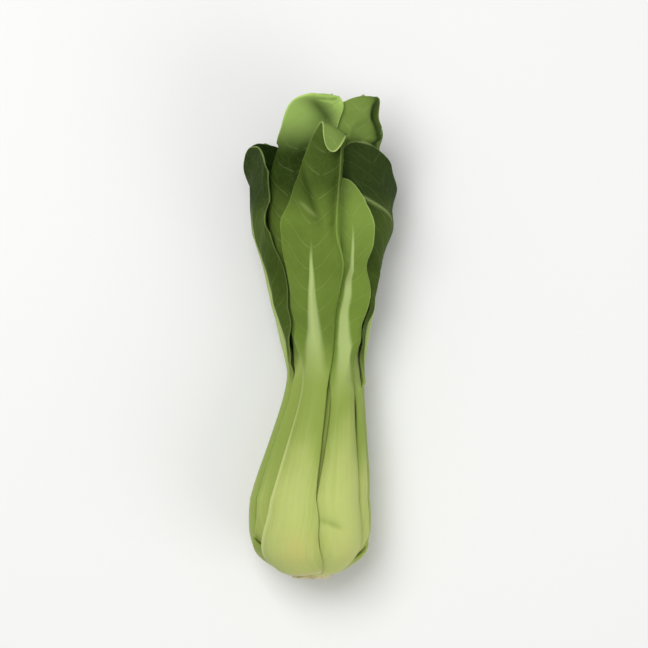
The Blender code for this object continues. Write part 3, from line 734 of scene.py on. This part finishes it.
class NodeTree:
    """A node tree that is being built. Each input is a value or the output of another node."""

    def __init__(self, tree):
        self.tree = tree

    def add(self, kind, inputs=None, **settings):
        node = self.tree.nodes.new(kind)
        for name, value in settings.items():
            setattr(node, name, value)
        self.fill(node, inputs or {})
        return node

    def fill(self, node, inputs):
        """Gives a node its inputs, by name or number."""
        for key, value in inputs.items():
            if isinstance(value, bpy.types.NodeSocket):
                self.tree.links.new(value, node.inputs[key])
            else:
                node.inputs[key].default_value = value

    def math(self, operation, *values):
        return self.add("ShaderNodeMath", dict(enumerate(values)), operation=operation).outputs[0]

    def ramp(self, value, low, high, to_low=0.0, to_high=1.0):
        """A smooth step from one value to another while the input goes from low to high."""
        inputs = {0: value, 1: low, 2: high, 3: to_low, 4: to_high}
        node = self.add("ShaderNodeMapRange", inputs, interpolation_type="SMOOTHSTEP")
        return node.outputs[0]

    def times(self, a, b):
        return self.math("MULTIPLY", a, b)

    def plus(self, a, b):
        return self.math("ADD", a, b)

    def minus(self, a, b):
        return self.math("SUBTRACT", a, b)

    def kept(self, name):
        """What each point of a leaf keeps under this name, in a material."""
        return self.add("ShaderNodeAttribute", attribute_name=name).outputs["Fac"]

    def mix(self, factor, a, b):
        """Colour a where the factor is 0 and colour b where it is 1."""
        return self.add("ShaderNodeMix", {0: factor, 6: a, 7: b}, data_type="RGBA").outputs[2]

    def noise(self, vector, scale, detail=2.0, roughness=0.5):
        inputs = {"Vector": vector, "Scale": scale, "Detail": detail, "Roughness": roughness}
        return self.add("ShaderNodeTexNoise", inputs).outputs["Fac"]

    def vector(self, x, y, z=0.0):
        return self.add("ShaderNodeCombineXYZ", {0: x, 1: y, 2: z}).outputs[0]


def new_material(name):
    """(material, its tree, its shader)"""
    made = bpy.data.materials.new(name)
    made.use_nodes = True
    return made, NodeTree(made.node_tree), made.node_tree.nodes["Principled BSDF"]


def stalk_colour(tree, look, streaks, clouds):
    """Pale and streaked, greener at its margins and upwards (partly painted shade at the neck), with a
    warm patch near the butt, a painted highlight along its left margin and painted shade along its folds.
    """
    along, ridge, shade = tree.kept("along"), tree.kept("ridge"), tree.kept("shade")
    greener = tree.times(tree.math("POWER", tree.kept("out"), 2.0), GREEN_AT_MARGINS)
    # the painted highlight on the left margin takes some green away
    greener = tree.plus(tree.minus(greener, tree.times(ridge, LEFT_HIGHLIGHT_STRENGTH)), tree.kept("green"))
    # greener upwards: partly the stalk's own green, partly painted shade at the neck
    greener = tree.plus(greener, tree.times(tree.ramp(along, *GREEN_BETWEEN), GREEN_AT_TOP))
    greener = tree.plus(greener, tree.times(tree.minus(streaks, 0.5), GREEN_BY_STREAKS))
    greener = tree.plus(greener, tree.times(tree.minus(clouds, 0.5), GREEN_BY_CLOUDS))
    warm = tree.times(tree.ramp(along, *WARM_BETWEEN), tree.ramp(clouds, *WARM_CLOUDS))
    cut = tree.times(tree.ramp(tree.kept("base"), *CUT_BETWEEN), CUT_STRENGTH)
    colour = look.stalk_colour
    for share, over in (
        (tree.ramp(greener, 0.0, 1.0), look.stalk_green_and_shade),
        # painted highlight on the left margin
        (tree.times(ridge, LEFT_HIGHLIGHT_STRENGTH), look.ridge_highlight_and_crest_colour),
        (tree.times(warm, tree.kept("warm")), look.warm_colour),
        (cut, look.cut_colour),
        # painted shade along the stalk's folds, in the stalk's green
        (tree.times(shade, PAINTED_STALK_SHADE), look.stalk_green_and_shade),
        (tree.kept("crest"), look.ridge_highlight_and_crest_colour),
    ):
        colour = tree.mix(share, colour, over)
    return colour


def blade_colour(tree, look, sizes, clouds, net):
    """Green with paler side veins, a net between them, a pale midrib, a painted highlight along the
    margin, painted light on the upper blade and painted shade in the hollows of the folds.
    """
    out = tree.kept("out")
    tone = tree.plus(tree.kept("tone"), tree.times(tree.minus(clouds, 0.5), TONE_BY_CLOUDS))
    to_vein = tree.math("PINGPONG", tree.kept("vein_at"), sizes.vein_spacing / 2)
    vein_width = tree.ramp(out, 0.0, 1.0, sizes.vein_width, sizes.vein_width * VEIN_END)
    vein = tree.minus(1.0, tree.math("DIVIDE", to_vein, vein_width))
    vein = tree.times(tree.ramp(vein, 0.0, 1.0), tree.ramp(out, *VEIN_FROM))
    vein = tree.times(vein, tree.ramp(tone, *VEIN_TONES, *VEIN_STRENGTH))
    # painted highlight along the margin
    margin = tree.times(tree.ramp(tree.kept("rim"), *MARGIN_HIGHLIGHT_BETWEEN), tree.kept("edge"))
    colour = look.dark_green_and_shade
    for share, over in (
        (tree.ramp(tone, *TONE_RANGE), look.light_green),
        # painted light on the upper blade
        (tree.kept("pale"), look.tip_light_green),
        (tree.times(net, NET_STRENGTH), look.vein_colour),
        (vein, look.vein_colour),
        (tree.ramp(tree.kept("rib"), *RIB_BETWEEN), look.rib_colour),
        # painted shade in the cups and under the folds, in the darkest green
        (tree.kept("shade"), look.dark_green_and_shade),
        (tree.math("MAXIMUM", margin, tree.kept("crest")), look.margin_highlight_and_crest_colour),
    ):
        colour = tree.mix(share, colour, over)
    return colour


def vein_net(tree, across, number):
    """1 on the lines of the net of small veins and 0 between them."""
    place = tree.vector(across, tree.kept("vein_at"), tree.times(number, NET_STEP))
    inputs = {"Vector": place, "Scale": NET_PER_METRE}
    net = tree.add("ShaderNodeTexVoronoi", inputs, feature="DISTANCE_TO_EDGE")
    return tree.ramp(net.outputs["Distance"], NET_LINE, 0.0)


def leaf_skin(look, sizes):
    """Waxy stalk and satin blade in one skin, by what each point of the leaf keeps about itself."""
    made, tree, shader = new_material("Leaf skin")
    across, along = tree.kept("across"), tree.kept("along")
    blade, number = tree.kept("blade"), tree.kept("number")

    def pattern(fineness, detail):
        place = tree.vector(tree.times(across, fineness[0]), tree.times(along, fineness[1]), number)
        return tree.noise(place, 1.0, detail)

    streaks, clouds = pattern(STREAKS_PER_METRE, 3.0), pattern(CLOUDS_PER_METRE, 2.0)
    net = vein_net(tree, across, number)
    stalk = stalk_colour(tree, look, streaks, clouds)
    green = blade_colour(tree, look, sizes, clouds, net)

    grain = tree.noise(tree.vector(across, along, number), GRAIN_PER_METRE, 3.0)
    relief = tree.plus(tree.times(net, NET_DEPTH), tree.times(grain, GRAIN_HEIGHT))
    ribbing = tree.times(streaks, tree.minus(1.0, blade))
    relief = tree.plus(tree.times(relief, blade), tree.times(ribbing, STREAK_HEIGHT))
    inputs = {"Strength": BUMP_STRENGTH, "Distance": BUMP_HEIGHT, "Height": relief}
    bump = tree.add("ShaderNodeBump", inputs)
    rough = tree.ramp(blade, 0.0, 1.0, look.stalk_roughness, look.blade_roughness)
    rough = tree.plus(rough, tree.times(tree.minus(clouds, 0.5), ROUGH_BY_CLOUDS))
    tree.fill(shader, {
        "Base Color": tree.mix(blade, stalk, green),
        "Roughness": rough,
        "Normal": bump.outputs["Normal"],
        "Specular IOR Level": GLOSS,
        "Subsurface Weight": GLOW,
        "Subsurface Radius": GLOW_COLOURS,
        "Subsurface Scale": GLOW_DEPTH,
    })
    return made


def cut_flesh(look):
    """The stem: cream where it is cut, with patches dried brown, and as pale as the stalks above."""
    patches_per_metre = 420.0
    dried_patches = (0.46, 0.70)  # parts of the pattern between which the brown comes up
    dried_between = (0.0012, 0.0004)  # distances from the cut between which it does
    cut_between = (0.0002, 0.0020)  # and between which the fresh cut's colour ends
    made, tree, shader = new_material("Cut flesh")
    place = tree.add("ShaderNodeTexCoord").outputs["Object"]
    patches = tree.noise(place, patches_per_metre, 4.0, 0.6)
    above_cut = tree.minus(tree.add("ShaderNodeSeparateXYZ", {0: place}).outputs[1], BUTT)
    dried = tree.times(tree.ramp(patches, *dried_patches), tree.ramp(above_cut, *dried_between))
    flesh = tree.mix(tree.ramp(above_cut, *cut_between), look.cut_colour, look.warm_colour)
    bump = tree.add("ShaderNodeBump", {"Strength": 0.6, "Distance": 0.0002, "Height": patches})
    tree.fill(shader, {
        "Base Color": tree.mix(dried, flesh, look.dried_colour),
        "Normal": bump.outputs["Normal"],
        "Roughness": 0.6,
        "Subsurface Weight": 0.3,
        "Subsurface Scale": 0.0015,
    })
    return made


def plain_finish(name, colour, roughness):
    made, tree, shader = new_material(name)
    tree.fill(shader, {"Base Color": colour, "Roughness": roughness})
    return made


def new_geometry_tree(name, inputs):
    """(node group, its tree, its inputs) with a geometry in and out, and inputs of these kinds."""
    group = bpy.data.node_groups.new(name, "GeometryNodeTree")
    for title, kind in {"Geometry": "Geometry", **inputs}.items():
        group.interface.new_socket(title, in_out="INPUT", socket_type=f"NodeSocket{kind}")
    group.interface.new_socket("Geometry", in_out="OUTPUT", socket_type="NodeSocketGeometry")
    tree = NodeTree(group)
    return group, tree, tree.add("NodeGroupInput").outputs


def new_relief_tree():
    """Geometry nodes that raise a leaf's veins and swell the blade between them."""
    bumps_per_metre = 130.0
    seed_step = 0.1  # how far apart the bumps of two seeds are cut from the same pattern
    rib_keeps = (0.35, 0.0)  # nearness to the midrib's middle over which the relief comes up
    rim_keeps = 0.002  # distance from the rim at which it is as high as it gets
    group, tree, given = new_geometry_tree("Leaf relief", {
        "Vein spacing": "Float",
        "Vein width": "Float",
        "Vein height": "Float",
        "Swelling": "Float",
        "Unevenness": "Float",
        "Seed": "Int",
        "Lowest": "Float",
        "Skin": "Material",
    })

    def kept(name, kind="FLOAT"):
        return tree.add("GeometryNodeInputNamedAttribute", {"Name": name}, data_type=kind).outputs[0]

    half_spacing = tree.math("DIVIDE", given["Vein spacing"], 2.0)
    to_vein = tree.math("PINGPONG", kept("vein_at"), half_spacing)
    near_vein = tree.minus(1.0, tree.math("DIVIDE", to_vein, given["Vein width"]))
    ridge = tree.times(tree.ramp(near_vein, 0.0, 1.0), given["Vein height"])
    ridge = tree.times(ridge, kept("face_side"))
    between = tree.math("DIVIDE", to_vein, half_spacing)
    swell = tree.times(tree.ramp(between, 0.0, 1.0), given["Swelling"])
    place = tree.vector(kept("across"), kept("along"), tree.times(given["Seed"], seed_step))
    uneven = tree.minus(tree.noise(place, bumps_per_metre, 2.0), 0.5)
    uneven = tree.times(uneven, given["Unevenness"])
    off_rib = tree.ramp(kept("rib"), *rib_keeps)
    height = tree.times(tree.plus(ridge, swell), tree.times(off_rib, kept("blade")))
    height = tree.plus(height, tree.times(uneven, kept("blade")))
    height = tree.times(height, tree.ramp(kept("rim"), 0.0, rim_keeps))
    outward = kept("outward", "FLOAT_VECTOR")
    offset = tree.add("ShaderNodeVectorMath", {0: outward, 3: height}, operation="SCALE").outputs[0]
    inputs = {"Geometry": given["Geometry"], "Offset": offset}
    moved = tree.add("GeometryNodeSetPosition", inputs).outputs[0]
    position = tree.add("GeometryNodeInputPosition").outputs[0]
    parts = tree.add("ShaderNodeSeparateXYZ", {0: position}).outputs
    above = tree.vector(parts[0], parts[1], tree.math("MAXIMUM", parts[2], given["Lowest"]))
    laid = tree.add("GeometryNodeSetPosition", {"Geometry": moved, "Position": above}).outputs[0]
    real = tree.add("GeometryNodeRealizeInstances", {0: laid}).outputs[0]
    dressed = tree.add("GeometryNodeSetMaterial", {"Geometry": real, "Material": given["Skin"]})
    tree.add("NodeGroupOutput", {0: dressed.outputs[0]})
    return group


def new_cut_face_tree():
    """Geometry nodes that set a ring of small vessels in the face of the cut stem."""
    astray = 0.0004  # how far a vessel strays from the ring
    smallest, largest = 0.6, 1.2  # sizes of the vessels, against the vessel radius
    group, tree, given = new_geometry_tree("Cut face", {
        "Ring radius": "Float",
        "Vessel radius": "Float",
        "Vessels": "Int",
        "Seed": "Int",
        "Centre": "Vector",
        "Flesh": "Material",
    })
    inputs = {"Vertices": given["Vessels"], "Radius": given["Ring radius"]}
    ring = tree.add("GeometryNodeMeshCircle", inputs).outputs[0]
    upright = (math.pi / 2, 0, 0)
    inputs = {"Geometry": ring, "Translation": given["Centre"], "Rotation": upright}
    turned = tree.add("GeometryNodeTransform", inputs).outputs[0]
    inputs = {0: (-astray, 0.0, -astray), 1: (astray, 0.0, astray), "Seed": given["Seed"]}
    jitter = tree.add("FunctionNodeRandomValue", inputs, data_type="FLOAT_VECTOR").outputs[0]
    inputs = {"Geometry": turned, "Offset": jitter}
    moved = tree.add("GeometryNodeSetPosition", inputs).outputs[0]
    inputs = {"Radius": given["Vessel radius"], "Subdivisions": 2}
    bead = tree.add("GeometryNodeMeshIcoSphere", inputs).outputs[0]
    inputs = {2: smallest, 3: largest, "Seed": given["Seed"]}
    grown = tree.add("FunctionNodeRandomValue", inputs, data_type="FLOAT").outputs[1]
    inputs = {"Points": moved, "Instance": bead, "Scale": grown}
    beads = tree.add("GeometryNodeInstanceOnPoints", inputs).outputs[0]
    real = tree.add("GeometryNodeRealizeInstances", {0: beads}).outputs[0]
    both = tree.add("GeometryNodeJoinGeometry")
    for geometry in (real, given["Geometry"]):
        tree.fill(both, {0: geometry})
    inputs = {"Geometry": both.outputs[0], "Material": given["Flesh"]}
    dressed = tree.add("GeometryNodeSetMaterial", inputs)
    tree.add("NodeGroupOutput", {0: dressed.outputs[0]})
    return group


def shaped_by(piece, group, values):
    """Runs a geometry tree on a piece, with its inputs by name, and keeps the plain result."""
    modifier = piece.modifiers.new(group.name, "NODES")
    modifier.node_group = group
    for item in group.interface.items_tree:
        if item.item_type == "SOCKET" and item.in_out == "INPUT" and item.name in values:
            modifier[item.identifier] = values[item.name]
    graph = bpy.context.evaluated_depsgraph_get()
    result = bpy.data.meshes.new_from_object(piece.evaluated_get(graph))
    piece.modifiers.remove(modifier)
    old, piece.data = piece.data, result
    bpy.data.meshes.remove(old)
    result.name = piece.name


def new_piece(name, data):
    piece = bpy.data.objects.new(name, data)
    bpy.context.scene.collection.objects.link(piece)
    return piece


class BokChoyLeafSizes(bpy.types.PropertyGroup):
    """Sizes of what the leaves carry."""

    vein_spacing: FloatProperty(
        name="Vein spacing", description="From one side vein to the next",
        default=0.0085, unit="LENGTH",
    )
    vein_width: FloatProperty(
        name="Vein width", description="Half a side vein's width at the midrib",
        default=0.0006, unit="LENGTH",
    )
    vein_height: FloatProperty(
        name="Vein height", description="How far a side vein stands out",
        default=0.00012, unit="LENGTH",
    )
    swelling: FloatProperty(
        name="Swelling", description="How far the blade swells between veins",
        default=0.0002, unit="LENGTH",
    )
    unevenness: FloatProperty(
        name="Unevenness", description="Height of the blade's small bumps",
        default=0.0005, unit="LENGTH",
    )
    seed: IntProperty(name="Seed", description="Changes the small bumps", default=3)


class BokChoyLook(bpy.types.PropertyGroup):
    """Colours and finish of the head."""

    stalk_colour: FloatVectorProperty(
        name="Stalk", description="Middle of a stalk", default=(0.48, 0.54, 0.175, 1),
        size=4, subtype="COLOR",
    )
    # also the colour of painted shade along a stalk's folds and at its neck
    stalk_green_and_shade: FloatVectorProperty(
        name="Stalk flank", description="Margins and upper end of a stalk", default=(0.26, 0.34, 0.072, 1),
        size=4, subtype="COLOR",
    )
    warm_colour: FloatVectorProperty(
        name="Warm base", description="Patches near the butt", default=(0.56, 0.50, 0.17, 1),
        size=4, subtype="COLOR",
    )
    # also the colour of painted shade in a blade's cups and under its folds
    dark_green_and_shade: FloatVectorProperty(
        name="Dark green", description="The darkest blade", default=(0.008, 0.021, 0.001, 1),
        size=4, subtype="COLOR",
    )
    light_green: FloatVectorProperty(
        name="Light green", description="The lightest blade", default=(0.155, 0.235, 0.036, 1),
        size=4, subtype="COLOR",
    )
    # the colour of the painted light on the upper blades
    tip_light_green: FloatVectorProperty(
        name="Pale green", description="The palest tips", default=(0.38, 0.54, 0.14, 1),
        size=4, subtype="COLOR",
    )
    vein_colour: FloatVectorProperty(
        name="Veins", description="Side veins", default=(0.34, 0.44, 0.15, 1),
        size=4, subtype="COLOR",
    )
    rib_colour: FloatVectorProperty(
        name="Midrib", description="The midrib in the blade", default=(0.38, 0.47, 0.17, 1),
        size=4, subtype="COLOR",
    )
    # the colour of the painted highlight along a blade's margin, and of the pale lines along folds
    margin_highlight_and_crest_colour: FloatVectorProperty(
        name="Margin", description="A blade's thin edge", default=(0.46, 0.56, 0.20, 1),
        size=4, subtype="COLOR",
    )
    # the colour of the painted highlight on a stalk's left margin, and of the pale lines along folds
    ridge_highlight_and_crest_colour: FloatVectorProperty(
        name="Ridge", description="A fold along a stalk", default=(0.56, 0.62, 0.26, 1),
        size=4, subtype="COLOR",
    )
    cut_colour: FloatVectorProperty(
        name="Cut flesh", description="Fresh cut flesh", default=(0.62, 0.58, 0.32, 1),
        size=4, subtype="COLOR",
    )
    dried_colour: FloatVectorProperty(
        name="Dried flesh", description="Where the cut has dried", default=(0.36, 0.24, 0.10, 1),
        size=4, subtype="COLOR",
    )
    stalk_roughness: FloatProperty(
        name="Stalk roughness", description="Of the waxy stalks", default=0.42, min=0, max=1
    )
    blade_roughness: FloatProperty(
        name="Blade roughness", description="Of the satin blades", default=0.72, min=0, max=1
    )


class BokChoyStage(bpy.types.PropertyGroup):
    """The floor, the light and the camera."""

    floor_colour: FloatVectorProperty(
        name="Floor", description="Colour of the floor", default=(0.80, 0.80, 0.79, 1),
        size=4, subtype="COLOR",
    )
    view_width: FloatProperty(
        name="View width", description="What the camera sees from side to side",
        default=0.243, unit="LENGTH",
    )
    camera_height: FloatProperty(
        name="Camera height", description="Above the head's axis", default=2.4, unit="LENGTH"
    )
    key_power: FloatProperty(
        name="Key light", description="Power of the main light", default=7, unit="POWER"
    )
    fill_power: FloatProperty(
        name="Fill light", description="Power of the second light", default=3, unit="POWER"
    )
    sky: FloatProperty(name="Sky", description="Strength of the light all round", default=0.42)


class BOKCHOY_OT_leaves(bpy.types.Operator):
    """Add the twelve leaves, each in place of its stalk and blade"""

    bl_idname = "bokchoy.leaves"
    bl_label = "Add Leaves"

    def execute(self, context):
        sizes, look = context.scene.bok_choy_sizes, context.scene.bok_choy_look
        skin = leaf_skin(look, sizes)
        relief = new_relief_tree()
        layers = Layers()
        for leaf in LEAVES:
            number = f"{leaf.place + 1:02d}"
            shape = LeafShape(leaf, layers)
            piece = new_piece(f"leaf_{number}", leaf_mesh(f"leaf_{number}", shape))
            shaped_by(piece, relief, {
                "Vein spacing": sizes.vein_spacing,
                "Vein width": sizes.vein_width,
                "Vein height": sizes.vein_height,
                "Swelling": sizes.swelling,
                "Unevenness": sizes.unevenness,
                "Seed": sizes.seed + leaf.place,
                "Lowest": 0.0,
                "Skin": skin,
            })
            piece.data.shade_smooth()
            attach(piece, "root")
            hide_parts(f"stalk_{number}", f"blade_{number}")
        return {"FINISHED"}


def stem_mesh():
    """The stem, turned round the head's axis from its outline."""
    ends = [(0.0, STEM_OUTLINE[0][0]), (0.0, STEM_OUTLINE[-1][0])]
    outline = [ends[0], *[(radius, y) for y, radius in STEM_OUTLINE], ends[1]]
    turns = np.arange(STEM_SIDES) * 2 * math.pi / STEM_SIDES
    bm = bmesh.new()
    rings = [
        [bm.verts.new((AXIS.x + r * math.sin(t), BUTT + y, AXIS.z + r * math.cos(t))) for t in turns]
        for r, y in outline
    ]
    for low, high in zip(rings, rings[1:]):
        for i in range(STEM_SIDES):
            j = (i + 1) % STEM_SIDES
            bm.faces.new((low[i], low[j], high[j], high[i]))
    bmesh.ops.remove_doubles(bm, verts=bm.verts, dist=MERGE)
    bmesh.ops.recalc_face_normals(bm, faces=bm.faces)
    mesh = bpy.data.meshes.new("cut_stem")
    bm.to_mesh(mesh)
    bm.free()
    return mesh


class BOKCHOY_OT_stem(bpy.types.Operator):
    """Add the cut stem with its ring of vessels"""

    bl_idname = "bokchoy.stem"
    bl_label = "Add Cut Stem"

    SHARP_ANGLE = 50  # degrees, for the rim of the cut face

    def execute(self, context):
        piece = new_piece("cut_stem", stem_mesh())
        shaped_by(piece, new_cut_face_tree(), {
            "Ring radius": 0.0048,
            "Vessel radius": 0.0003,
            "Vessels": 22,
            "Seed": 5,
            "Centre": (AXIS.x, BUTT + VESSEL_DEPTH, AXIS.z),
            "Flesh": cut_flesh(context.scene.bok_choy_look),
        })
        piece.data.shade_smooth()
        piece.data.set_sharp_from_angle(angle=math.radians(self.SHARP_ANGLE))
        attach(piece, "root")
        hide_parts("stem")
        return {"FINISHED"}


class BOKCHOY_OT_stage(bpy.types.Operator):
    """Add the floor, the lights and the camera above the head"""

    bl_idname = "bokchoy.stage"
    bl_label = "Add Stage"

    FLOOR_HALF_SIDE = 3
    FLOOR_DROP = 0.0001  # gap between the floor and the head
    FLOOR_ROUGHNESS = 0.8
    VIEW_CENTRE = (0.0049, 0.0953)  # the middle of the view, from the head's axis at the butt
    KEY_PLACE, KEY_SIZE = (-0.25, 0.25, 0.92), 0.55
    FILL_PLACE, FILL_SIZE = (0.70, -0.45, 0.60), 0.70

    def execute(self, context):
        scene, stage = context.scene, context.scene.bok_choy_stage
        self.add_floor(stage)
        self.add_camera(scene, stage)
        self.add_light("key", stage.key_power, self.KEY_PLACE, self.KEY_SIZE)
        self.add_light("fill", stage.fill_power, self.FILL_PLACE, self.FILL_SIZE)
        world = bpy.data.worlds.new("studio")
        world.use_nodes = True
        sky = world.node_tree.nodes["Background"]
        NodeTree(world.node_tree).fill(sky, {"Color": (1, 1, 1, 1), "Strength": stage.sky})
        scene.world = world
        scene.view_settings.view_transform = "Standard"
        return {"FINISHED"}

    def add_floor(self, stage):
        bm = bmesh.new()
        bmesh.ops.create_grid(bm, x_segments=1, y_segments=1, size=self.FLOOR_HALF_SIDE)
        mesh = bpy.data.meshes.new("floor")
        bm.to_mesh(mesh)
        bm.free()
        mesh.materials.append(plain_finish("Pale floor", stage.floor_colour, self.FLOOR_ROUGHNESS))
        floor = new_piece("floor", mesh)
        floor.location.z = -self.FLOOR_DROP

    def add_camera(self, scene, stage):
        camera = bpy.data.cameras.new("camera")
        camera.lens = camera.sensor_width * stage.camera_height / stage.view_width
        view = new_piece("camera", camera)
        x, y = self.VIEW_CENTRE
        view.location = (AXIS.x + x, BUTT + y, AXIS.z + stage.camera_height)
        scene.camera = view

    def add_light(self, name, power, place, size):
        lamp = bpy.data.lights.new(name, "AREA")
        lamp.energy = power
        lamp.size = size
        light = new_piece(name, lamp)
        light.location = place
        light.rotation_euler = (-light.location).to_track_quat("-Z", "Y").to_euler()


class BOKCHOY_PT_panel(bpy.types.Panel):
    """The head's operators and their values"""

    bl_label = "Bok Choy"
    bl_idname = "BOKCHOY_PT_panel"
    bl_space_type = "VIEW_3D"
    bl_region_type = "UI"
    bl_category = "Bok Choy"

    def draw(self, context):
        for operator in (BOKCHOY_OT_leaves, BOKCHOY_OT_stem, BOKCHOY_OT_stage):
            self.layout.operator(operator.bl_idname)
        for group in (
            context.scene.bok_choy_sizes,
            context.scene.bok_choy_look,
            context.scene.bok_choy_stage,
        ):
            for name in group.__annotations__:
                self.layout.prop(group, name)


CLASSES = (
    BokChoyLeafSizes,
    BokChoyLook,
    BokChoyStage,
    BOKCHOY_OT_leaves,
    BOKCHOY_OT_stem,
    BOKCHOY_OT_stage,
    BOKCHOY_PT_panel,
)


def register():
    for cls in CLASSES:
        bpy.utils.register_class(cls)
    bpy.types.Scene.bok_choy_sizes = PointerProperty(type=BokChoyLeafSizes)
    bpy.types.Scene.bok_choy_look = PointerProperty(type=BokChoyLook)
    bpy.types.Scene.bok_choy_stage = PointerProperty(type=BokChoyStage)


def unregister():
    del bpy.types.Scene.bok_choy_stage
    del bpy.types.Scene.bok_choy_look
    del bpy.types.Scene.bok_choy_sizes
    for cls in reversed(CLASSES):
        bpy.utils.unregister_class(cls)


def main():
    register()
    bpy.ops.bokchoy.leaves()
    bpy.ops.bokchoy.stem()
    bpy.ops.bokchoy.stage()


if __name__ == "__main__":
    main()
